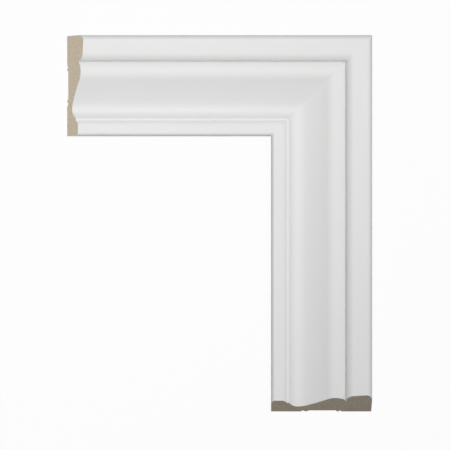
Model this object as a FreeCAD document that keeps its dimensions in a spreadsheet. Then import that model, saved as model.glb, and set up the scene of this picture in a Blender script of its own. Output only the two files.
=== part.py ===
import FreeCAD, Part
import math
import os

import Sketcher

# Architrave moulding: a mitred corner of two lengths of the same moulded stock.
# The head runs across the top and the leg runs down from its right-hand end.
# The corner lies on its back: +Z comes out of the moulded face, +Y points up the leg,
# and the origin is on the back, in the middle of the corner's outer rectangle.
# Each length is drawn in a frame of its own, with the outer corner of the mitre at its
# origin, the stock along X and the inner edge towards -Y.

# Sizes in millimetres and degrees. The widths of the members run in order from the outer
# edge to the inner edge and add up to the 107.95 mm (4 1/4 in) width of the stock.
# A drop is measured down from the highest line of the face, so thicker stock keeps its profile.
SIZES = {
    "head_length": "326.1",
    "leg_length": "402.4",
    "thickness": "17.46",
    # outer edge, leaning in towards the back, and the rounded nose above it
    "edge_lean": "3.9",
    "nose_radius": "5.73",
    # the wide face, which falls gently towards the opening
    "fascia_width": "19.93",
    "fascia_slope": "3.5",
    # the quarter round that ends in the quirk, a sharp crease
    "ovolo_width": "8.3",
    "ovolo_radius": "12.1",
    # from the quirk to the crest of the swelling beside it
    "crown_width": "10.65",
    "crown_drop": "2.83",
    # from the crest down to the bottom of the hollow, with the long, faint scoop between them
    "flank_width": "40.9",
    "flank_length": "23.6",
    "flank_radius": "230",
    "cove_drop": "12.09",
    # from the bottom of the hollow up to the narrow flat
    "rise_width": "8.85",
    "fillet_drop": "8.05",
    "fillet_width": "2.55",
    # the small quarter round beside the flat, and the flat land at the opening
    "bead_width": "5.05",
    "land_drop": "5.82",
    "land_width": "11.72",
    "arris_radius": "3.91",
    # the relief in the back: a groove, a shallow channel and a second groove, in order
    "relief_offset": "32.7",
    "outer_groove_width": "3.2",
    "outer_rib_width": "1.4",
    "channel_width": "33.3",
    "channel_depth": "1.15",
    "channel_outer_slope": "1.6",
    "channel_inner_slope": "3.4",
    "inner_rib_width": "0.4",
    "inner_groove_width": "5.3",
    "groove_depth": "1.2",
    # the cut at the free end of each length, measured up from the back
    "end_bevel": "45",
}

START, END, CENTRE = 1, 2, 3
ORIGIN = (-1, 1)
ACROSS_AXIS = -1
UP = FreeCAD.Vector(0, 0, 1)


def size(name):
    return float(SIZES[name])


def make_sheet(doc):
    sheet = doc.addObject("Spreadsheet::Sheet", "Sizes")
    for row, (name, value) in enumerate(SIZES.items(), start=1):
        sheet.set(f"A{row}", name)
        sheet.set(f"B{row}", value)
        sheet.setAlias(f"B{row}", name)
    doc.recompute()


def make_sketch(body, name, plane):
    sketch = body.newObject("Sketcher::SketchObject", f"{body.Name}_{name}")
    for feature in body.Origin.OriginFeatures:
        if feature.Role == plane:
            sketch.AttachmentSupport = (feature, "")
    sketch.MapMode = "FlatFace"
    return sketch


def line(sketch, start, end):
    return sketch.addGeometry(Part.LineSegment(start, end), False)


def arc(sketch, centre, start, end):
    """An arc that turns anticlockwise about its centre, from start to end."""
    circle = Part.Circle(centre, UP, (start - centre).Length)
    angles = [math.atan2(point.y - centre.y, point.x - centre.x) for point in (start, end)]
    if angles[1] < angles[0]:
        angles[1] += 2 * math.pi
    return sketch.addGeometry(Part.ArcOfCircle(circle, *angles), False)


def bind(sketch, name, expression, kind, *where):
    """Add a dimension that follows an expression of the sizes."""
    value = float(sketch.evalExpression(expression))
    if kind == "Angle":
        value = math.radians(value)
    index = sketch.addConstraint(Sketcher.Constraint(kind, *where, value))
    sketch.renameConstraint(index, name)
    sketch.setExpression(f"Constraints.{name}", expression)


def tie(sketch, kind, *where):
    sketch.addConstraint(Sketcher.Constraint(kind, *where))


def outline(sketch, corners):
    """A closed outline of straight lines through the corners."""
    lines = [line(sketch, start, end) for start, end in zip(corners, corners[1:] + corners[:1])]
    for first, second in zip(lines, lines[1:] + lines[:1]):
        tie(sketch, "Coincident", first, END, second, START)
    return lines


def face_points():
    """Corners and arc centres of the moulded face, as (distance from the outer edge, height)."""
    thick = size("thickness")
    lean, slope = math.radians(size("edge_lean")), math.radians(size("fascia_slope"))
    nose, ovolo = size("nose_radius"), size("ovolo_radius")
    points = {"nose_centre": (nose, thick - nose)}
    x, y = points["nose_centre"]
    edge_top = (x - nose * math.cos(lean), y - nose * math.sin(lean))
    points["edge_top"] = edge_top
    points["edge_foot"] = (edge_top[0] + edge_top[1] * math.tan(lean), 0)
    points["fascia_start"] = (x + nose * math.sin(slope), y + nose * math.cos(slope))
    x, y = points["fascia_start"]
    x, y = size("fascia_width"), y - (size("fascia_width") - x) * math.tan(slope)
    points["fascia_end"] = (x, y)
    x, y = x - ovolo * math.sin(slope), y - ovolo * math.cos(slope)
    points["ovolo_centre"] = (x, y)

    quirk = size("fascia_width") + size("ovolo_width")
    points["quirk"] = (quirk, y + math.sqrt(ovolo**2 - (quirk - x) ** 2))
    crest = (quirk + size("crown_width"), thick - size("crown_drop"))
    points["crest"] = crest
    crown = arc_radius(points["quirk"], crest)
    points["crown_centre"] = (crest[0], crest[1] - crown)

    cove = (crest[0] + size("flank_width"), thick - size("cove_drop"))
    points["cove"] = cove
    run, fall = cove[0] - crest[0], crest[1] - cove[1]
    scoop = size("flank_radius")
    both = crown + scoop
    half = math.asin(size("flank_length") / (2 * scoop))
    ratio = math.tan(half)
    # the steepness of the flank where it leaves the crown, and where it joins the hollow
    steep = 2 * math.atan((fall + run * ratio) / (run + (2 * both - fall) * ratio))
    slack = steep - 2 * half
    hollow = scoop - (both * math.sin(steep) - run) / math.sin(slack)
    x, y = crest[0] + both * math.sin(steep), crest[1] - crown + both * math.cos(steep)
    points["flank_centre"] = (x, y)
    points["flank_start"] = (x - scoop * math.sin(steep), y - scoop * math.cos(steep))
    points["flank_end"] = (x - scoop * math.sin(slack), y - scoop * math.cos(slack))
    points["hollow_centre"] = (cove[0], cove[1] + hollow)

    fillet = (cove[0] + size("rise_width"), thick - size("fillet_drop"))
    points["fillet_start"] = fillet
    points["rise_centre"] = (cove[0], cove[1] + arc_radius(cove, fillet))
    points["fillet_end"] = (fillet[0] + size("fillet_width"), fillet[1])
    land = (points["fillet_end"][0] + size("bead_width"), thick - size("land_drop"))
    points["land_start"] = land
    points["bead_centre"] = (land[0], land[1] - arc_radius(points["fillet_end"], land))
    inner, arris = land[0] + size("land_width"), size("arris_radius")
    points["land_end"] = (inner - arris, land[1])
    points["arris_centre"] = (inner - arris, land[1] - arris)
    points["inner_top"] = (inner, land[1] - arris)
    points["inner_foot"] = (inner, 0)
    return {name: FreeCAD.Vector(-x, y, 0) for name, (x, y) in points.items()}


def arc_radius(one, other):
    """Radius of an arc through both points that is level at one of them."""
    run, rise = other[0] - one[0], other[1] - one[1]
    return (run**2 + rise**2) / (2 * abs(rise))


def draw_section(sketch):
    """The moulded section, from the outer edge over the face to the inner edge.

    Bulging arcs run from their outer end to their inner end, and scooped ones the other way.
    """
    at = face_points()
    edge = line(sketch, at["edge_foot"], at["edge_top"])
    nose = arc(sketch, at["nose_centre"], at["edge_top"], at["fascia_start"])
    fascia = line(sketch, at["fascia_end"], at["fascia_start"])
    ovolo = arc(sketch, at["ovolo_centre"], at["fascia_end"], at["quirk"])
    crown = arc(sketch, at["crown_centre"], at["quirk"], at["flank_start"])
    flank = arc(sketch, at["flank_centre"], at["flank_end"], at["flank_start"])
    hollow = arc(sketch, at["hollow_centre"], at["cove"], at["flank_end"])
    rise = arc(sketch, at["rise_centre"], at["fillet_start"], at["cove"])
    fillet = line(sketch, at["fillet_start"], at["fillet_end"])
    bead = arc(sketch, at["bead_centre"], at["fillet_end"], at["land_start"])
    land = line(sketch, at["land_start"], at["land_end"])
    arris = arc(sketch, at["arris_centre"], at["land_end"], at["inner_top"])
    inner = line(sketch, at["inner_top"], at["inner_foot"])
    back = line(sketch, at["inner_foot"], at["edge_foot"])
    crest = sketch.addGeometry(Part.Point(at["crest"]), True)

    tie(sketch, "PointOnObject", back, START, ACROSS_AXIS)
    tie(sketch, "PointOnObject", back, END, ACROSS_AXIS)
    tie(sketch, "Coincident", back, END, edge, START)
    tie(sketch, "Tangent", edge, END, nose, START)
    tie(sketch, "Tangent", nose, END, fascia, END)
    tie(sketch, "Tangent", fascia, START, ovolo, START)
    tie(sketch, "Coincident", ovolo, END, crown, START)
    tie(sketch, "PointOnObject", crest, START, crown)
    tie(sketch, "Vertical", crown, CENTRE, crest, START)
    tie(sketch, "Tangent", crown, END, flank, END)
    tie(sketch, "Tangent", flank, START, hollow, END)
    tie(sketch, "Vertical", hollow, CENTRE, hollow, START)
    tie(sketch, "Tangent", hollow, START, rise, END)
    tie(sketch, "Coincident", rise, START, fillet, START)
    tie(sketch, "Horizontal", fillet)
    tie(sketch, "Coincident", fillet, END, bead, START)
    tie(sketch, "Tangent", bead, END, land, START)
    tie(sketch, "Horizontal", land)
    tie(sketch, "Tangent", land, END, arris, START)
    tie(sketch, "Tangent", arris, END, inner, START)
    tie(sketch, "Vertical", inner)
    tie(sketch, "Coincident", inner, END, back, START)

    bind(sketch, "edge_rise", "90 - Sizes.edge_lean", "Angle", edge)
    bind(sketch, "nose_radius", "Sizes.nose_radius", "Radius", nose)
    bind(sketch, "nose_inset", "Sizes.nose_radius", "DistanceX", nose, CENTRE, *ORIGIN)
    bind(sketch, "nose_height", "Sizes.thickness - Sizes.nose_radius", "DistanceY", *ORIGIN, nose, CENTRE)
    bind(sketch, "fascia_slope", "Sizes.fascia_slope", "Angle", fascia)
    bind(sketch, "fascia_width", "Sizes.fascia_width", "DistanceX", fascia, START, *ORIGIN)
    bind(sketch, "ovolo_radius", "Sizes.ovolo_radius", "Radius", ovolo)
    bind(sketch, "ovolo_width", "Sizes.ovolo_width", "DistanceX", ovolo, END, ovolo, START)
    bind(sketch, "crown_width", "Sizes.crown_width", "DistanceX", crest, START, crown, START)
    bind(sketch, "crest_height", "Sizes.thickness - Sizes.crown_drop", "DistanceY", *ORIGIN, crest, START)
    bind(sketch, "flank_width", "Sizes.flank_width", "DistanceX", hollow, START, crest, START)
    bind(sketch, "cove_height", "Sizes.thickness - Sizes.cove_drop", "DistanceY", *ORIGIN, hollow, START)
    bind(sketch, "flank_length", "Sizes.flank_length", "Distance", flank, START, flank, END)
    bind(sketch, "flank_radius", "Sizes.flank_radius", "Radius", flank)
    bind(sketch, "rise_width", "Sizes.rise_width", "DistanceX", rise, START, rise, END)
    bind(sketch, "fillet_height", "Sizes.thickness - Sizes.fillet_drop", "DistanceY", *ORIGIN, fillet, END)
    bind(sketch, "fillet_width", "Sizes.fillet_width", "DistanceX", fillet, END, fillet, START)
    bind(sketch, "bead_width", "Sizes.bead_width", "DistanceX", bead, END, bead, START)
    bind(sketch, "land_height", "Sizes.thickness - Sizes.land_drop", "DistanceY", *ORIGIN, land, START)
    bind(sketch, "land_width", "Sizes.land_width", "DistanceX", inner, START, bead, END)
    bind(sketch, "arris_radius", "Sizes.arris_radius", "Radius", arris)
    width = sketch.addConstraint(Sketcher.Constraint("DistanceX", inner, END, *ORIGIN, 1.0))
    sketch.setDriving(width, False)
    sketch.renameConstraint(width, "overall_width")


def on_section(across, height=0):
    """A point of the section, from its distance to the outer edge and its height."""
    return FreeCAD.Vector(-across, height, 0)


def draw_groove(sketch, name, offset):
    """A groove with two equal slopes, and its outer and inner lips."""
    width, depth = size(f"{name}_width"), size("groove_depth")
    corners = [on_section(offset), on_section(offset + width / 2, depth), on_section(offset + width)]
    outer, inner, mouth = outline(sketch, corners)
    tie(sketch, "Equal", outer, inner)
    tie(sketch, "PointOnObject", mouth, START, ACROSS_AXIS)
    tie(sketch, "PointOnObject", mouth, END, ACROSS_AXIS)
    bind(sketch, f"{name}_depth", "Sizes.groove_depth", "DistanceY", *ORIGIN, outer, END)
    bind(sketch, f"{name}_width", f"Sizes.{name}_width", "DistanceX", mouth, START, mouth, END)
    return (mouth, END), (mouth, START)


def draw_channel(sketch, offset):
    """A shallow channel with a slope at each side, and its outer and inner lips."""
    depth, far = size("channel_depth"), offset + size("channel_width")
    corners = [
        on_section(offset),
        on_section(offset + size("channel_outer_slope"), depth),
        on_section(far - size("channel_inner_slope"), depth),
        on_section(far),
    ]
    outer, floor, inner, mouth = outline(sketch, corners)
    tie(sketch, "Horizontal", floor)
    tie(sketch, "PointOnObject", mouth, START, ACROSS_AXIS)
    tie(sketch, "PointOnObject", mouth, END, ACROSS_AXIS)
    bind(sketch, "channel_depth", "Sizes.channel_depth", "DistanceY", *ORIGIN, floor, START)
    bind(sketch, "channel_width", "Sizes.channel_width", "DistanceX", mouth, START, mouth, END)
    for side, name in ((outer, "channel_outer_slope"), (inner, "channel_inner_slope")):
        bind(sketch, name, f"Sizes.{name}", "DistanceX", side, END, side, START)
    return (mouth, END), (mouth, START)


def draw_relief(sketch):
    """The relief in the back: each part is set out from the inner lip of the one before."""
    offset = size("relief_offset")
    outer_lip, inner_lip = draw_groove(sketch, "outer_groove", offset)
    bind(sketch, "relief_offset", "Sizes.relief_offset", "DistanceX", *outer_lip, *ORIGIN)
    offset += size("outer_groove_width") + size("outer_rib_width")
    outer_lip, channel_lip = draw_channel(sketch, offset)
    bind(sketch, "outer_rib_width", "Sizes.outer_rib_width", "DistanceX", *outer_lip, *inner_lip)
    offset += size("channel_width") + size("inner_rib_width")
    outer_lip, _ = draw_groove(sketch, "inner_groove", offset)
    bind(sketch, "inner_rib_width", "Sizes.inner_rib_width", "DistanceX", *outer_lip, *channel_lip)


def draw_mitre(sketch, run, width_expression):
    """The waste beyond the mitre, drawn past both edges by the stock's thickness."""
    past = size("thickness")
    far = past - face_points()["inner_foot"].x
    corners = [
        FreeCAD.Vector(-run * past, past, 0),
        FreeCAD.Vector(run * far, -far, 0),
        FreeCAD.Vector(-run * past, -far, 0),
    ]
    mitre, below, beside = outline(sketch, corners)
    tie(sketch, "Horizontal", below)
    tie(sketch, "Vertical", beside)
    # equal legs keep the cut at 45 degrees, and so the corner square
    tie(sketch, "Equal", below, beside)
    ends = [(beside, START), ORIGIN][::run]
    bind(sketch, "past_corner", "Sizes.thickness", "DistanceX", *ends[0], *ends[1])
    bind(sketch, "past_outer_edge", "Sizes.thickness", "DistanceY", *ORIGIN, beside, END)
    past_inner = f"{width_expression} + Sizes.thickness * 1 mm"
    bind(sketch, "past_inner_edge", past_inner, "DistanceY", beside, START, *ORIGIN)


def draw_bevel(sketch, run, length):
    """The waste beyond the bevelled end, where the back reaches furthest."""
    far, past = size(length), size("thickness")
    setback = 2 * past / math.tan(math.radians(size("end_bevel")))
    corners = [
        FreeCAD.Vector(run * far, 0, 0),
        FreeCAD.Vector(run * (far - setback), 2 * past, 0),
        FreeCAD.Vector(run * (far + past), 2 * past, 0),
        FreeCAD.Vector(run * (far + past), 0, 0),
    ]
    bevel, above, beyond, below = outline(sketch, corners)
    tie(sketch, "Horizontal", above)
    tie(sketch, "Vertical", beyond)
    tie(sketch, "PointOnObject", below, START, ACROSS_AXIS)
    tie(sketch, "PointOnObject", below, END, ACROSS_AXIS)
    ends = [ORIGIN, (bevel, START)][::run]
    bind(sketch, "length", f"Sizes.{length}", "DistanceX", *ends[0], *ends[1])
    ends = [(below, END), (below, START)][::run]
    bind(sketch, "past_end", "Sizes.thickness", "DistanceX", *ends[0], *ends[1])
    bind(sketch, "past_face", "2 * Sizes.thickness", "DistanceY", *ORIGIN, above, END)
    angle = "Sizes.end_bevel" if run < 0 else "180 - Sizes.end_bevel"
    bind(sketch, "end_bevel", angle, "Angle", bevel)


def cut(body, sketch, reverse):
    """Cut the sketch's outlines through the whole length, and check that wood went."""
    body.Document.recompute()
    before = body.Shape.Volume
    pocket = body.newObject("PartDesign::Pocket", f"{sketch.Name}_cut")
    pocket.Profile = sketch
    pocket.Type = "ThroughAll"
    pocket.Reversed = reverse
    body.Document.recompute()
    if body.Shape.Volume >= before:
        raise RuntimeError(f"{pocket.Name} cuts nothing")


def make_architrave(doc, name, length, run, turn):
    """One length of stock, mitred at the corner and bevelled at its free end.

    It runs from the corner towards -X (run -1) or +X (run 1) and is then turned about Z.
    """
    body = doc.addObject("PartDesign::Body", name)
    body.Label = name
    section = make_sketch(body, "section", "YZ_Plane")
    draw_section(section)
    stock = body.newObject("PartDesign::Pad", f"{name}_stock")
    stock.Profile = section
    stock.Reversed = run < 0
    stock.setExpression("Length", f"Sizes.{length}")

    relief = make_sketch(body, "relief", "YZ_Plane")
    draw_relief(relief)
    cut(body, relief, run > 0)
    mitre = make_sketch(body, "mitre", "XY_Plane")
    draw_mitre(mitre, run, f"{section.Name}.Constraints.overall_width")
    cut(body, mitre, True)
    bevel = make_sketch(body, "bevel", "XZ_Plane")
    draw_bevel(bevel, run, length)
    cut(body, bevel, True)

    body.Placement = FreeCAD.Placement(FreeCAD.Vector(), FreeCAD.Rotation(UP, turn))
    body.setExpression("Placement.Base.x", "Sizes.head_length / 2")
    body.setExpression("Placement.Base.y", "Sizes.leg_length / 2")
    return body


def check(doc, bodies):
    """Stop if anything in the document failed or a length is not one good solid."""
    for item in doc.Objects:
        if {"Invalid", "Error"} & set(item.State):
            raise RuntimeError(f"{item.Name} failed: {item.State}")
    for body in bodies:
        shape = body.Shape
        if shape.isNull() or not shape.isValid() or len(shape.Solids) != 1:
            raise RuntimeError(f"{body.Label} is not one valid solid")


doc = FreeCAD.newDocument("architrave_corner")
make_sheet(doc)
bodies = [
    make_architrave(doc, "head_architrave", "head_length", -1, 0),
    make_architrave(doc, "leg_architrave", "leg_length", 1, -90),
]
doc.recompute()
check(doc, bodies)
os.makedirs("parts", exist_ok=True)
for body in bodies:
    body.Shape.exportStep(f"parts/{body.Label}.step")
    print(body.Label, round(body.Shape.Volume), "mm3", body.Shape.BoundBox)
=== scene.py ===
import math

import bmesh
import bpy
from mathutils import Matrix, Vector


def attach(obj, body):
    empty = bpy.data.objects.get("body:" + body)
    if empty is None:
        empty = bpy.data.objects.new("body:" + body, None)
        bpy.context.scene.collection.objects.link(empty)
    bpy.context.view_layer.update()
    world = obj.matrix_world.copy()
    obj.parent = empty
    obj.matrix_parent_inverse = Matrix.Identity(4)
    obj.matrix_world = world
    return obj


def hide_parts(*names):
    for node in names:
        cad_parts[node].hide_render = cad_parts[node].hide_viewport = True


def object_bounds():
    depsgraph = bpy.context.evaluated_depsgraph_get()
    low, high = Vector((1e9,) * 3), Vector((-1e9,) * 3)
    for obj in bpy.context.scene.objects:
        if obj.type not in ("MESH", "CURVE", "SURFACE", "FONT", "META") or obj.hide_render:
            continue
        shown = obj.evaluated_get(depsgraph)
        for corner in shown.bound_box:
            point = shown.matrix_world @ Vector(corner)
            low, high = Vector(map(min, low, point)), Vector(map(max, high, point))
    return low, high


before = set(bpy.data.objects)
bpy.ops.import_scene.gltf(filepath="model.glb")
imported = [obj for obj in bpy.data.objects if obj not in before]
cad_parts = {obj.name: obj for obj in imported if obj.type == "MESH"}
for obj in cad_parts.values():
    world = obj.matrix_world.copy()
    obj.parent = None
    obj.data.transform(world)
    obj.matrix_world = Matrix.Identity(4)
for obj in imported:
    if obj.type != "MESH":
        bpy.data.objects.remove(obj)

bl_info = {
    "name": "Architrave corner",
    "version": (1, 0, 0),
    "blender": (4, 5, 0),
    "location": "3D View > Sidebar > Architrave",
    "description": "A mitred corner of primed architrave moulding, with its floor, light and camera",
    "category": "Add Mesh",
}

MM = 0.001
UP = Vector((0, 0, 1))
CAD_LOW, CAD_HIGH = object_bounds()
THICKNESS = CAD_HIGH.z - CAD_LOW.z
OUTER_CORNER = Vector((CAD_HIGH.x, CAD_HIGH.y, CAD_LOW.z))
HEAD_LENGTH = CAD_HIGH.x - CAD_LOW.x
LEG_LENGTH = CAD_HIGH.y - CAD_LOW.y

MERGE_REACH = 0.001 * MM  # corners nearer than this become one
LOOKUP_REACH = 0.01 * MM  # a corner this near a place is the one at that place
CUT_REACH = 0.0001 * MM  # a corner this near a cut lies on it
SMOOTH_ANGLE = math.radians(20)  # faces that meet at less than this are shaded as one
FACING = 0.5  # share of a face's normal along a direction, from which it faces that way
PRIMED, SAWN, BACK = 0, 1, 2  # order of each piece's materials

# sockets of the Mix node for colours, by number because its other sockets have the same names
MIX_SHARE, MIX_FIRST, MIX_SECOND, MIX_RESULT = 0, 6, 7, 2
# values of a noise between which a feature of the finish comes in
SOFT_RANGE = 0.3, 0.7
CHIP_RANGE = 0.38, 0.62
FIBRE_RANGE = 0.62, 0.78
FLECK_RANGE = 0.67, 0.74


def length(name, description, millimetres):
    """A property for a size, given in millimetres."""
    return bpy.props.FloatProperty(
        name=name,
        description=description,
        default=millimetres * MM,
        min=0.0,
        precision=5,
        subtype="DISTANCE",
        unit="LENGTH",
    )


def angle(name, description, degrees):
    """A property for an angle, given in degrees."""
    return bpy.props.FloatProperty(
        name=name,
        description=description,
        default=math.radians(degrees),
        subtype="ANGLE",
        unit="ROTATION",
    )


def number(name, description, default):
    return bpy.props.FloatProperty(name=name, description=description, default=default, min=0.0)


def colour(name, description, red, green, blue):
    """A colour property, given as the 0 to 255 values seen on a screen."""
    return bpy.props.FloatVectorProperty(
        name=name,
        description=description,
        default=[screen_to_linear(value / 255) for value in (red, green, blue)],
        min=0.0,
        max=1.0,
        size=3,
        subtype="COLOR",
    )


def screen_to_linear(value):
    """The sRGB curve, from a screen's value to a share of light."""
    if value <= 0.04045:
        return value / 12.92
    return ((value + 0.055) / 1.055) ** 2.4


class MouldingSizes(bpy.types.PropertyGroup):
    """Members of the moulded face from the outer edge to the inner edge, then the back and the ends."""

    edge_lean: angle("Edge lean", "How far the outer edge leans in towards the back", 3.9)
    nose_radius: length("Nose radius", "Rounding of the outer edge into the face", 5.73)
    fascia_width: length("Fascia width", "From the outer edge to the ovolo", 19.93)
    fascia_slope: angle("Fascia slope", "Fall of the wide face towards the opening", 3.5)
    ovolo_width: length("Ovolo width", "From the fascia to the quirk", 8.3)
    ovolo_radius: length("Ovolo radius", "Rounding of the fascia into the quirk", 12.1)
    foot_width: length("Foot width", "Last stretch of the ovolo, which curves more tightly", 3.3)
    foot_radius: length("Foot radius", "Radius of the ovolo's last stretch", 6.5)
    quirk_width: length("Quirk width", "Narrow slot that the cutter leaves at the ovolo's foot", 1.2)
    quirk_overlap: length("Quirk overlap", "Part of the slot that lies on the crown's side", 0.3)
    quirk_depth: length("Quirk depth", "Depth of the slot below the crown's lip", 1.6)
    lip_width: length("Lip width", "First stretch of the crown, which curves more tightly", 3.5)
    lip_radius: length("Lip radius", "Radius of the crown's first stretch", 6.5)
    crown_width: length("Crown width", "From the quirk to the crest", 10.65)
    crown_drop: length("Crown drop", "Depth of the crest below the top of the face", 2.83)
    flank_width: length("Flank width", "From the crest to the bottom of the hollow", 40.9)
    flank_length: length("Flank length", "Long, faint scoop between the crown and the hollow", 23.6)
    flank_radius: length("Flank radius", "Radius of the flank's scoop", 230)
    cove_drop: length("Cove drop", "Depth of the hollow below the top of the face", 12.09)
    rise_width: length("Rise width", "From the bottom of the hollow to the fillet", 8.85)
    fillet_drop: length("Fillet drop", "Depth of the fillet below the top of the face", 8.05)
    fillet_width: length("Fillet width", "Width of the narrow flat", 2.55)
    bead_width: length("Bead width", "From the fillet to the land", 5.05)
    land_drop: length("Land drop", "Depth of the land below the top of the face", 5.82)
    land_width: length("Land width", "From the bead to the inner edge", 11.72)
    arris_radius: length("Arris radius", "Rounding of the land into the inner edge", 3.91)
    relief_offset: length("Relief offset", "From the outer edge to the relief in the back", 32.7)
    outer_groove_width: length("Outer groove width", "Groove nearest the outer edge", 3.2)
    outer_rib_width: length("Outer rib width", "Between the outer groove and the channel", 1.4)
    channel_width: length("Channel width", "Shallow channel in the back", 33.3)
    channel_depth: length("Channel depth", "Depth of the shallow channel", 1.15)
    channel_outer_slope: length("Channel outer slope", "Width of the channel's outer side", 1.6)
    channel_inner_slope: length("Channel inner slope", "Width of the channel's inner side", 3.4)
    inner_rib_width: length("Inner rib width", "Between the channel and the inner groove", 0.4)
    inner_groove_width: length("Inner groove width", "Groove nearest the inner edge", 5.3)
    groove_depth: length("Groove depth", "Depth of both grooves", 1.2)
    end_bevel: angle("End bevel", "Angle of the sawn ends, measured up from the back", 45)
    crease: length("Crease", "Rounding that the primer leaves on the sharp corners", 0.2)
    facet: length("Facet", "Longest step along a rounded member", 0.3)


class FinishColours(bpy.types.PropertyGroup):
    """Colours of the primer, of the fibreboard under it, with painted light and painted shade on its
    two sawn ends, and of the floor.
    """

    primer: colour("Primer", "White primer on the face and edges", 234, 234, 233.5)
    # the head's sawn end is painted lighter and the leg's darker than their one board: painted light on
    # the end that faces the light, painted shade on the end that faces away
    head_board_painted_light: colour("Head board", "Fibreboard where the head is sawn", 233, 218, 194)
    leg_board_painted_shade: colour("Leg board", "Fibreboard where the leg is sawn", 171, 160, 143)
    back_board: colour("Back board", "Planed fibreboard of both backs", 200, 187, 166)
    floor: colour("Floor", "Pale floor under the corner", 245, 245, 245)


class FinishDetail(bpy.types.PropertyGroup):
    """Grain of the primer and of the fibreboard, and how deep it goes."""

    primer_roughness: number("Primer roughness", "Roughness of the primer, on average", 0.48)
    primer_spread: number("Primer spread", "How far the primer's roughness goes up and down", 0.03)
    primer_clouds: number("Primer clouds", "Share of light that the thinner primer loses", 0.012)
    primer_peel: length("Primer peel", "Depth of the orange peel in the primer", 0.012)
    primer_drag: length("Primer drag", "Depth of the lines drawn along the length", 0.006)
    primer_fibres: length("Primer fibres", "How far fibres lift the primer", 0.004)
    board_roughness: number("Board roughness", "Roughness of bare fibreboard", 0.85)
    board_grain: number("Board grain", "Share of light that the darker chips lose", 0.24)
    board_fibres: number("Board fibres", "Share of light that the pale fibres add", 0.14)
    board_flecks: number("Board flecks", "Share of light that the dark flecks lose", 0.45)
    board_rim: number("Board rim", "Share of light that the board loses at its dense back", 0.08)
    rim_height: length("Rim height", "Thickness of the board's dense back", 1.8)
    chip_depth: length("Chip depth", "How far chips stand out on the sawn ends", 0.08)
    fibre_depth: length("Fibre depth", "How far pale fibres stand out on the sawn ends", 0.03)
    saw_spacing: length("Saw spacing", "Distance between the marks of the saw on the ends", 1.3)
    saw_depth: length("Saw depth", "Depth of the marks of the saw", 0.04)
    hub_inwards: length("Hub inwards", "From the outer edge to the middle of the saw", 20)
    hub_height: length("Hub height", "From the back up to the middle of the saw", 150)
    planed_share: number("Planed share", "Share of the chips' contrast that planing leaves", 0.6)
    planed_depth: length("Planed depth", "Depth of every mark on the planed back", 0.02)
    knife_spacing: length("Knife spacing", "Distance between the planer's marks across the back", 1.9)
    overspray: length("Overspray", "Primer that ran round the edges onto the back", 0.5)
    overspray_blur: length("Overspray blur", "Half the width in which that primer fades", 0.3)


class StageSettings(bpy.types.PropertyGroup):
    """The picture's framing and the studio light."""

    picture_width: length("Picture width", "Width of the square picture at the moulding's face", 480.9)
    aim_right: length("Aim right", "How far the picture's middle lies right of the corner's", 5.8)
    aim_down: length("Aim down", "How far the picture's middle lies below the corner's", 1.7)
    lens: number("Lens", "A long lens, so that the picture is nearly without perspective", 1000)
    overhead_power: number("Overhead power", "Watts of the wide lamp above", 82)
    side_power: number("Side power", "Watts of the lamp out to the right", 5.6)
    spot_power: number("Spot power", "Watts of the spot above the upper left", 352)
    spot_reach: length("Spot reach", "Radius of the round patch that the spot lights", 1230)
    sky: number("Sky", "Strength of the even light from all round", 0.135)
    floor_size: length("Floor size", "Side of the square floor", 12000)
    floor_gap: length("Floor gap", "From the back to the floor, as faces at one height flicker", 0.05)
    floor_glow: number("Floor glow", "Share of white that the camera sees on the floor", 0.92)
    floor_bounce: number("Floor bounce", "Share of the light that the floor throws back", 0.33)


def deselect_all():
    """Deselect every object, since an operator acts on all that is selected."""
    for item in bpy.context.selected_objects:
        item.select_set(False)


def face_of(size):
    """Corners and arc centres of the face, each as (distance from the outer edge, height)."""
    at = outer_members(size)
    at |= flank_members(size, at["quirk"])
    at |= quirk_members(size, at)
    at |= inner_members(size, at["cove"])
    return at


def outer_members(size):
    """The outer edge, the nose, the fascia and the ovolo, as far as the quirk."""
    nose, lean, slope = size.nose_radius, size.edge_lean, size.fascia_slope
    nose_centre = Vector((nose, THICKNESS - nose))
    edge_top = nose_centre - nose * Vector((math.cos(lean), math.sin(lean)))
    across_slope = Vector((math.sin(slope), math.cos(slope)))
    fascia_start = nose_centre + nose * across_slope
    run = size.fascia_width - fascia_start.x
    fascia_end = fascia_start + Vector((run, -run * math.tan(slope)))
    ovolo_centre = fascia_end - size.ovolo_radius * across_slope
    quirk = fascia_end.x + size.ovolo_width
    return {
        "edge_foot": Vector((edge_top.x + edge_top.y * math.tan(lean), 0)),
        "edge_top": edge_top,
        "nose_centre": nose_centre,
        "fascia_start": fascia_start,
        "fascia_end": fascia_end,
        "ovolo_centre": ovolo_centre,
        "quirk": point_on_arc(ovolo_centre, size.ovolo_radius, quirk),
    }


def flank_members(size, quirk):
    """The crown, the faint scoop of the flank and the hollow, which meet without a corner."""
    crest = Vector((quirk.x + size.crown_width, THICKNESS - size.crown_drop))
    cove = Vector((crest.x + size.flank_width, THICKNESS - size.cove_drop))
    run, fall = cove.x - crest.x, crest.y - cove.y
    crown, scoop = level_radius(quirk, crest), size.flank_radius
    both = crown + scoop
    half_turn = math.asin(size.flank_length / (2 * scoop))
    tangent = math.tan(half_turn)
    # slopes at the start and the end of the scoop, which follow from the run and the fall
    steep = 2 * math.atan((fall + run * tangent) / (run + (2 * both - fall) * tangent))
    slack = steep - 2 * half_turn
    hollow = scoop - (both * math.sin(steep) - run) / math.sin(slack)
    across_steep = Vector((math.sin(steep), math.cos(steep)))
    across_slack = Vector((math.sin(slack), math.cos(slack)))
    crown_centre = crest - Vector((0, crown))
    flank_centre = crown_centre + both * across_steep
    return {
        "crown_centre": crown_centre,
        "flank_start": crown_centre + crown * across_steep,
        "flank_centre": flank_centre,
        "flank_end": flank_centre - scoop * across_slack,
        "hollow_centre": cove + Vector((0, hollow)),
        "cove": cove,
    }


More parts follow.
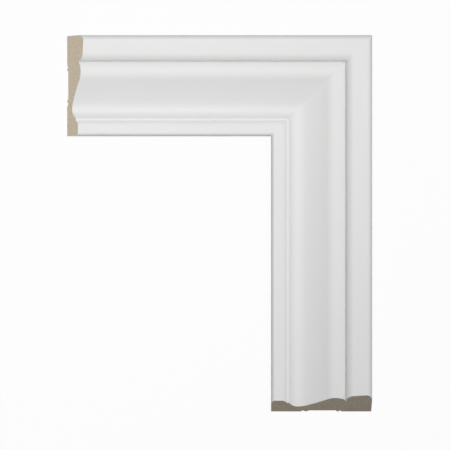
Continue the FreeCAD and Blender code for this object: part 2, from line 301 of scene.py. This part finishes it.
def quirk_members(size, at):
    """The slot at the quirk, and the tighter curves of the ovolo and the crown beside it."""
    quirk, ovolo_centre, crown_centre = at["quirk"], at["ovolo_centre"], at["crown_centre"]
    ovolo, crown = size.ovolo_radius, (quirk - crown_centre).length
    foot_start = point_on_arc(ovolo_centre, ovolo, quirk.x - size.foot_width)
    foot_centre = foot_start.lerp(ovolo_centre, size.foot_radius / ovolo)
    lip_end = point_on_arc(crown_centre, crown, quirk.x + size.lip_width)
    lip_centre = lip_end.lerp(crown_centre, size.lip_radius / crown)
    slot_end = quirk.x + size.quirk_overlap
    slot_start = slot_end - size.quirk_width
    lip_start = point_on_arc(lip_centre, size.lip_radius, slot_end)
    return {
        "foot_start": foot_start,
        "foot_centre": foot_centre,
        "foot_end": point_on_arc(foot_centre, size.foot_radius, slot_start),
        "quirk_foot": Vector(((slot_start + slot_end) / 2, lip_start.y - size.quirk_depth)),
        "lip_start": lip_start,
        "lip_centre": lip_centre,
        "lip_end": lip_end,
    }


def inner_members(size, cove):
    """The rise out of the hollow, the fillet, the bead, the land and the inner edge."""
    fillet_start = Vector((cove.x + size.rise_width, THICKNESS - size.fillet_drop))
    fillet_end = fillet_start + Vector((size.fillet_width, 0))
    land_start = Vector((fillet_end.x + size.bead_width, THICKNESS - size.land_drop))
    inner, arris = land_start.x + size.land_width, size.arris_radius
    return {
        "rise_centre": cove + Vector((0, level_radius(fillet_start, cove))),
        "fillet_start": fillet_start,
        "fillet_end": fillet_end,
        "bead_centre": land_start - Vector((0, level_radius(fillet_end, land_start))),
        "land_start": land_start,
        "land_end": Vector((inner - arris, land_start.y)),
        "arris_centre": Vector((inner - arris, land_start.y - arris)),
        "inner_top": Vector((inner, land_start.y - arris)),
        "inner_foot": Vector((inner, 0)),
    }


def point_on_arc(centre, radius, across):
    """The upper point of a circle at a distance from the outer edge."""
    return Vector((across, centre.y + math.sqrt(radius**2 - (across - centre.x) ** 2)))


def level_radius(point, level_point):
    """Radius of an arc through both points that is level at the second."""
    run, rise = level_point - point
    return (run**2 + rise**2) / (2 * abs(rise))


def relief_of(size):
    """Corners of the relief in the back, from its outer end to its inner end."""
    corners = []

    def groove(start, width):
        corners.append(Vector((start, 0)))
        corners.append(Vector((start + width / 2, size.groove_depth)))
        corners.append(Vector((start + width, 0)))
        return start + width

    end = groove(size.relief_offset, size.outer_groove_width)
    start = end + size.outer_rib_width
    end = start + size.channel_width
    corners.append(Vector((start, 0)))
    corners.append(Vector((start + size.channel_outer_slope, size.channel_depth)))
    corners.append(Vector((end - size.channel_inner_slope, size.channel_depth)))
    corners.append(Vector((end, 0)))
    groove(end + size.inner_rib_width, size.inner_groove_width)
    return corners


class SectionPen:
    """Draws the section in edit mode, by extruding and spinning its last corner."""

    def __init__(self, start, across, facet):
        self.across, self.facet = across, facet
        self.axis = across.cross(UP)
        self.place = start
        # a plane merged into its middle is the one corner to draw from
        bpy.ops.mesh.primitive_plane_add(size=facet)
        bpy.ops.object.mode_set(mode="EDIT")
        bpy.ops.mesh.select_mode(type="VERT")
        bpy.ops.mesh.select_all(action="SELECT")
        bpy.ops.mesh.merge(type="CENTER")
        bpy.ops.transform.translate(value=self.on_stock(start))

    def on_stock(self, point):
        return OUTER_CORNER + self.across * point.x + UP * point.y

    def line(self, end):
        step = self.on_stock(end) - self.on_stock(self.place)
        bpy.ops.mesh.extrude_region_move(TRANSFORM_OT_translate={"value": step})
        self.place = end

    def arc(self, centre, end):
        """Spin the last corner to the end, the short way round."""
        first, last = self.place - centre, end - centre
        turn = math.atan2(first.x * last.y - first.y * last.x, first.dot(last))
        steps = math.ceil(first.length * abs(turn) / self.facet)
        # spin turns clockwise about its axis for a positive angle
        bpy.ops.mesh.spin(steps=steps, angle=-turn, center=self.on_stock(centre), axis=self.axis)
        self.place = end


def draw_section(size, across):
    """Draw one closed section at the outer corner, and fill it."""
    at = face_of(size)
    pen = SectionPen(at["edge_foot"], across, size.facet)
    pen.line(at["edge_top"])
    pen.arc(at["nose_centre"], at["fascia_start"])
    pen.line(at["fascia_end"])
    pen.arc(at["ovolo_centre"], at["foot_start"])
    pen.arc(at["foot_centre"], at["foot_end"])
    pen.line(at["quirk_foot"])
    pen.line(at["lip_start"])
    pen.arc(at["lip_centre"], at["lip_end"])
    pen.arc(at["crown_centre"], at["flank_start"])
    pen.arc(at["flank_centre"], at["flank_end"])
    pen.arc(at["hollow_centre"], at["cove"])
    pen.arc(at["rise_centre"], at["fillet_start"])
    pen.line(at["fillet_end"])
    pen.arc(at["bead_centre"], at["land_start"])
    pen.line(at["land_end"])
    pen.arc(at["arris_centre"], at["inner_top"])
    pen.line(at["inner_foot"])
    for corner in reversed(relief_of(size)):
        pen.line(corner)
    pen.line(at["edge_foot"])
    bpy.ops.mesh.select_all(action="SELECT")
    bpy.ops.mesh.remove_doubles(threshold=MERGE_REACH)
    bpy.ops.mesh.edge_face_add()
    sharp = ("edge_foot", "lip_start", "fillet_start", "fillet_end", "inner_foot")
    round_corners([pen.on_stock(at[name]) for name in sharp], size.crease)


def round_corners(places, width):
    """Round the section's corners that lie at the given places."""
    outline = bmesh.from_edit_mesh(bpy.context.object.data)
    bpy.ops.mesh.select_all(action="DESELECT")
    for vertex in outline.verts:
        vertex.select = min((vertex.co - place).length for place in places) < LOOKUP_REACH
    outline.select_flush_mode()
    bpy.ops.mesh.bevel(offset=width, affect="VERTICES", segments=4)


def saw(place, normal):
    """Cut the stock by a plane, remove what lies on the normal's side and close the cut."""
    bpy.ops.mesh.select_all(action="SELECT")
    bpy.ops.mesh.bisect(
        plane_co=place,
        plane_no=normal,
        use_fill=True,
        clear_outer=True,
        threshold=CUT_REACH,
    )


def face_outwards():
    """Turn every face of the mesh in edit mode outwards."""
    bpy.ops.mesh.select_all(action="SELECT")
    bpy.ops.mesh.normals_make_consistent(inside=False)


def make_length(name, size, along, across, reach, finishes):
    """One length of moulding, from the outer corner of the mitre to its bevelled end."""
    deselect_all()
    draw_section(size, across)
    bpy.ops.mesh.select_all(action="SELECT")
    bpy.ops.mesh.extrude_region_move(TRANSFORM_OT_translate={"value": along * reach})
    face_outwards()
    saw(OUTER_CORNER, across - along)
    bevel = along * math.sin(size.end_bevel) + UP * math.cos(size.end_bevel)
    saw(OUTER_CORNER + along * reach, bevel)
    face_outwards()
    bpy.ops.object.mode_set(mode="OBJECT")
    piece = bpy.context.object
    piece.name = piece.data.name = name
    lay_finishes(piece, finishes, along)
    bpy.ops.object.shade_smooth_by_angle(angle=SMOOTH_ANGLE)
    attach(piece, "root")
    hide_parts(name)


def lay_finishes(piece, finishes, along):
    """Bare board on the two cut ends and on the back, and primer on the rest."""
    for material in finishes:
        piece.data.materials.append(material)
    for face in piece.data.polygons:
        if abs(face.normal.dot(along)) > FACING:
            face.material_index = SAWN
        elif -face.normal.z > FACING:
            face.material_index = BACK
        else:
            face.material_index = PRIMED


class Nodes:
    """A node tree whose nodes are added and linked in one call each."""

    def __init__(self, owner):
        owner.use_nodes = True
        self.tree = owner.node_tree

    def add(self, kind, values=None, **settings):
        """Add a node with its settings; a value that is a socket or a node is linked."""
        node = self.tree.nodes.new("ShaderNode" + kind)
        for name, setting in settings.items():
            setattr(node, name, setting)
        self.give(node, values or {})
        return node

    def give(self, node, values):
        for name, value in values.items():
            if isinstance(value, bpy.types.Node):
                value = value.outputs[0]
            if isinstance(value, bpy.types.NodeSocket):
                self.tree.links.new(value, node.inputs[name])
            else:
                node.inputs[name].default_value = value

    def calculate(self, operation, *values):
        """Arithmetic on numbers, sockets or nodes."""
        return self.add("Math", dict(enumerate(values)), operation=operation)

    def mix_shaders(self, share, first, second):
        return self.add("MixShader", {0: share, 1: first, 2: second})

    def seen_directly(self):
        """1 for rays from the camera, a gloss or a clear surface, and 0 for light."""
        rays = self.add("LightPath").outputs
        seen = self.calculate("MAXIMUM", rays["Is Camera Ray"], rays["Is Glossy Ray"])
        return self.calculate("MAXIMUM", seen, rays["Is Transmission Ray"])


class Finish(Nodes):
    """A material of the moulding, and the patterns that it is made of."""

    def __init__(self, name):
        self.material = bpy.data.materials.new(name)
        super().__init__(self.material)
        self.place = self.add("TexCoord").outputs["Object"]

    def noise(self, grain, detail=2, turn=0):
        """Noise whose patches have the given sizes along X, Y and Z, turned about Z."""
        values = {"Vector": self.place, "Rotation": (0, 0, turn), "Scale": grain}
        patches = self.add("Mapping", values, vector_type="TEXTURE")
        values = {"Vector": patches, "Scale": 1, "Detail": detail}
        return self.add("TexNoise", values).outputs["Fac"]

    def waves(self, kind, spacing, place=None, **settings):
        """Soft waves a spacing apart: bands across an axis, or rings about a far point."""
        # at a scale of 1 the waves are a tenth of pi apart
        values = {"Vector": place or self.place, "Scale": math.pi / 10 / spacing}
        values |= {"Distortion": 1.5, "Detail": 2, "Detail Scale": 0.4}
        return self.add("TexWave", values, wave_type=kind, **settings).outputs["Fac"]

    def levels(self, value, low, high, low_result=0, high_result=1):
        """Stretch the values from low to high over the results, and hold them there."""
        values = {"Value": value, "From Min": low, "From Max": high}
        values |= {"To Min": low_result, "To Max": high_result}
        return self.add("MapRange", values)

    def mix(self, share, first, second):
        values = {MIX_SHARE: share, MIX_FIRST: first, MIX_SECOND: second}
        return self.add("Mix", values, data_type="RGBA").outputs[MIX_RESULT]

    def bump(self, *layers):
        """A bumpy surface from layers, each as (height from 0 to 1, depth)."""
        total = 0
        for height, depth in layers:
            total = self.calculate("MULTIPLY_ADD", height, depth, total)
        return self.add("Bump", {"Height": total, "Distance": 1.0, "Strength": 1.0})

    def finish(self, values):
        self.give(self.tree.nodes["Principled BSDF"], values)
        return self.material


def shaded(tint, share):
    """A colour with a share of its light taken off."""
    return [(1 - share) * value for value in tint] + [1]


def grey(share):
    """A colour that throws back a share of the light."""
    return (share, share, share, 1)


def drawn_out(along, long, short):
    """Grain that is long along one axis and short along the others."""
    return [long if part else short for part in along]


def even(size):
    """Grain of one size along all three axes."""
    return [size] * 3


def primer_material(name, colours, detail, along):
    """White primer: faint clouds, lines drawn along the length and a fine orange peel."""
    primer = Finish(name)
    clouds = primer.noise(drawn_out(along, long=70 * MM, short=22 * MM), detail=3)
    drag = primer.noise(drawn_out(along, long=90 * MM, short=0.9 * MM))
    peel = primer.noise(even(1.6 * MM))
    fibres = primer.noise(drawn_out(along, long=2.2 * MM, short=0.3 * MM))
    thin = primer.levels(clouds, *SOFT_RANGE, 0, detail.primer_clouds)
    roughness, spread = detail.primer_roughness, detail.primer_spread
    layers = (
        (peel, detail.primer_peel),
        (drag, detail.primer_drag),
        (fibres, detail.primer_fibres),
    )
    return primer.finish({
        "Base Color": primer.mix(thin, shaded(colours.primer, 0), shaded(colours.primer, 1)),
        "Roughness": primer.levels(drag, *SOFT_RANGE, roughness - spread, roughness + spread),
        "Normal": primer.bump(*layers),
    })


def board_colour(board, tint, detail, grain):
    """Bare fibreboard: matted chips, pale fibres that lie flat, dark flecks and a dense back."""
    chips = board.noise(even(1.2 * MM), detail=5)
    specks = board.noise(even(0.26 * MM), detail=3)
    chip_share = 0.6
    matted = board.calculate("MULTIPLY", specks, 1 - chip_share)
    matted = board.calculate("MULTIPLY_ADD", chips, chip_share, matted)
    # pale chips gain a little less light than dark ones lose
    pale_chips = shaded(tint, -0.8 * grain)
    tones = board.mix(board.levels(matted, *CHIP_RANGE), shaded(tint, grain), pale_chips)

    fibres = 0
    for degrees in (25, 80, 140):
        strand = board.noise((1.6 * MM, 0.14 * MM, 0.14 * MM), turn=math.radians(degrees))
        fibres = board.calculate("MAXIMUM", strand, fibres)
    pale = board.levels(fibres, *FIBRE_RANGE)
    tones = board.mix(pale, tones, shaded(tint, -detail.board_fibres))

    flecks = board.noise((1.3 * MM, 1.3 * MM, 0.4 * MM), detail=4)
    dark = board.levels(flecks, *FLECK_RANGE)
    tones = board.mix(dark, tones, shaded(tint, detail.board_flecks))

    # the dense back hides half of all this
    hidden = 0.5
    height = board.add("SeparateXYZ", {0: board.place}).outputs["Z"]
    rim = board.levels(height, 0, detail.rim_height, hidden, 0)
    tones = board.mix(rim, tones, shaded(tint, detail.board_rim / hidden))
    return tones, matted, pale


def sawn_material(name, tint, detail, hub):
    """A sawn end of the board, with the saw's marks as arcs about a far point."""
    board = Finish(name)
    tones, matted, pale = board_colour(board, tint, detail, detail.board_grain)
    around = board.add("Mapping", {"Vector": board.place, "Location": -hub})
    marks = board.waves("RINGS", detail.saw_spacing, place=around, rings_direction="SPHERICAL")
    layers = (matted, detail.chip_depth), (pale, detail.fibre_depth), (marks, detail.saw_depth)
    return board.finish({
        "Base Color": tones,
        "Roughness": detail.board_roughness,
        "Normal": board.bump(*layers),
    })


def back_material(name, colours, detail, along, across, width):
    """The board's own planed back, with knife marks, and primer at its edges."""
    board = Finish(name)
    grain = detail.planed_share * detail.board_grain
    tones, matted, pale = board_colour(board, colours.back_board, detail, grain)
    direction = "X" if along.x else "Y"
    marks = board.waves("BANDS", detail.knife_spacing, bands_direction=direction)

    values = {0: board.place, 1: OUTER_CORNER}
    from_corner = board.add("VectorMath", values, operation="SUBTRACT")
    values = {0: from_corner, 1: across}
    inwards = board.add("VectorMath", values, operation="DOT_PRODUCT").outputs["Value"]
    edge = board.calculate("MINIMUM", inwards, board.calculate("SUBTRACT", width, inwards))
    ragged = board.noise(even(4 * MM), detail=3)
    ragged = board.levels(ragged, *SOFT_RANGE, 0, 2 * detail.overspray)
    past_paint = board.calculate("SUBTRACT", edge, ragged)
    blur = detail.overspray_blur
    paint = board.levels(past_paint, -blur, blur, 1, 0)

    # planed board is a little smoother than sawn, and thin primer rougher and darker than full
    smoother, rougher, darker = 0.1, 0.1, 0.04
    bare, thin = detail.board_roughness - smoother, detail.primer_roughness + rougher
    return board.finish({
        "Base Color": board.mix(paint, tones, shaded(colours.primer, darker)),
        "Roughness": board.levels(paint, 0, 1, bare, thin),
        "Normal": board.bump(*((layer, detail.planed_depth) for layer in (matted, pale, marks))),
    })


class ARCHITRAVE_OT_lengths(bpy.types.Operator):
    """Make the head and the leg of the corner"""

    bl_idname = "architrave.lengths"
    bl_label = "Make head and leg"

    def execute(self, context):
        scene = context.scene
        size, colours = scene.architrave_sizes, scene.architrave_colours
        detail = scene.architrave_detail
        left, down = Vector((-1, 0, 0)), Vector((0, -1, 0))
        width = face_of(size)["inner_foot"].x
        # each sawn end gets its own board colour, which holds painted light on the head's end and
        # painted shade on the leg's end
        for name, tint, along, across, reach in (
            ("head", colours.head_board_painted_light, left, down, HEAD_LENGTH),
            ("leg", colours.leg_board_painted_shade, down, left, LEG_LENGTH),
        ):
            end = OUTER_CORNER + along * reach
            hub = end + across * detail.hub_inwards + UP * detail.hub_height
            finishes = (
                primer_material(f"{name}_primer", colours, detail, along),
                sawn_material(f"{name}_sawn_board_painted_lighting", tint, detail, hub),
                back_material(f"{name}_planed_board", colours, detail, along, across, width),
            )
            make_length(f"{name}_architrave", size, along, across, reach, finishes)
        return {"FINISHED"}


def make_floor(stage, colours):
    deselect_all()
    place = (0, 0, CAD_LOW.z - stage.floor_gap)
    bpy.ops.mesh.primitive_plane_add(size=stage.floor_size, location=place)
    floor = bpy.context.object
    floor.name = "floor"
    floor.data.materials.append(floor_material(stage, colours))


def floor_material(stage, colours):
    """A pale floor that looks nearly white and keeps a faint shadow."""
    material = bpy.data.materials.new("pale_floor")
    nodes = Nodes(material)
    nodes.tree.nodes.clear()
    plain = nodes.add("BsdfDiffuse", {"Color": (*colours.floor, 1)})
    glow = nodes.add("Emission", {"Color": grey(1)})
    seen = nodes.mix_shaders(stage.floor_glow, plain, glow)
    bounce = nodes.add("BsdfDiffuse", {"Color": grey(stage.floor_bounce)})
    surface = nodes.mix_shaders(nodes.seen_directly(), bounce, seen)
    nodes.add("OutputMaterial", {"Surface": surface})
    return material


def make_world(stage):
    """Even light from all round, which looks white where it is seen."""
    world = bpy.data.worlds.new("even_light")
    bpy.context.scene.world = world
    nodes = Nodes(world)
    nodes.tree.nodes.clear()
    light = nodes.add("Background", {"Color": grey(1), "Strength": stage.sky})
    white = nodes.add("Background", {"Color": grey(1)})
    surface = nodes.mix_shaders(nodes.seen_directly(), light, white)
    nodes.add("OutputWorld", {"Surface": surface})


def add_lamp(name, place, size, power):
    """A lamp as wide and deep as its size, that faces the middle of the floor."""
    aim = (-Vector(place)).to_track_quat("-Z", "Y").to_euler()
    bpy.ops.object.light_add(type="AREA", location=place, rotation=aim)
    lamp = bpy.context.object
    lamp.name = name
    lamp.data.shape = "RECTANGLE"
    lamp.data.size, lamp.data.size_y = size
    lamp.data.energy = power


def add_spot(name, place, radius, reach, power):
    """A soft spot that faces down and fades all the way to the edge of its patch."""
    bpy.ops.object.light_add(type="SPOT", radius=radius, location=place)
    spot = bpy.context.object
    spot.name = name
    spot.data.spot_size = 2 * math.atan(reach / place[2])
    spot.data.spot_blend = 1
    spot.data.energy = power


def add_camera(stage):
    """A camera above the corner, which looks straight down."""
    middle = (CAD_LOW + CAD_HIGH) / 2
    bpy.ops.object.camera_add(rotation=(0, 0, 0))
    camera = bpy.context.object
    camera.data.lens = stage.lens
    distance = stage.picture_width * stage.lens / camera.data.sensor_width
    camera.location = (
        middle.x + stage.aim_right,
        middle.y - stage.aim_down,
        THICKNESS + distance,
    )
    bpy.context.scene.camera = camera


class ARCHITRAVE_OT_stage(bpy.types.Operator):
    """Make the floor, the studio light and the camera"""

    bl_idname = "architrave.stage"
    bl_label = "Make stage"

    def execute(self, context):
        stage = context.scene.architrave_stage
        make_floor(stage, context.scene.architrave_colours)
        make_world(stage)
        deselect_all()
        add_lamp("overhead_lamp", place=(0.2, 0.6, 5), size=(6, 1), power=stage.overhead_power)
        add_lamp("side_lamp", place=(0.9, 0.5, 1.2), size=(0.4, 0.4), power=stage.side_power)
        add_spot(
            "spot",
            place=(-0.6, 0.3, 5),
            radius=0.5,
            reach=stage.spot_reach,
            power=stage.spot_power,
        )
        add_camera(stage)
        context.scene.view_settings.view_transform = "Standard"
        return {"FINISHED"}


class ARCHITRAVE_PT_panel(bpy.types.Panel):
    """Sizes, colours, finishes and light of the corner, and the operators that make it"""

    bl_label = "Architrave corner"
    bl_space_type = "VIEW_3D"
    bl_region_type = "UI"
    bl_category = "Architrave"

    def draw(self, context):
        layout = self.layout
        for group in GROUPS:
            settings = getattr(context.scene, group)
            box = layout.box()
            for name in settings.__annotations__:
                box.prop(settings, name)
        for operator in (ARCHITRAVE_OT_lengths, ARCHITRAVE_OT_stage):
            layout.operator(operator.bl_idname)


GROUPS = {
    "architrave_sizes": MouldingSizes,
    "architrave_colours": FinishColours,
    "architrave_detail": FinishDetail,
    "architrave_stage": StageSettings,
}
CLASSES = (*GROUPS.values(), ARCHITRAVE_OT_lengths, ARCHITRAVE_OT_stage, ARCHITRAVE_PT_panel)


def register():
    for cls in CLASSES:
        bpy.utils.register_class(cls)
    for name, group in GROUPS.items():
        setattr(bpy.types.Scene, name, bpy.props.PointerProperty(type=group))


def unregister():
    for name in GROUPS:
        delattr(bpy.types.Scene, name)
    for cls in reversed(CLASSES):
        bpy.utils.unregister_class(cls)


def main():
    register()
    bpy.ops.architrave.lengths()
    bpy.ops.architrave.stage()


if __name__ == "__main__":
    main()
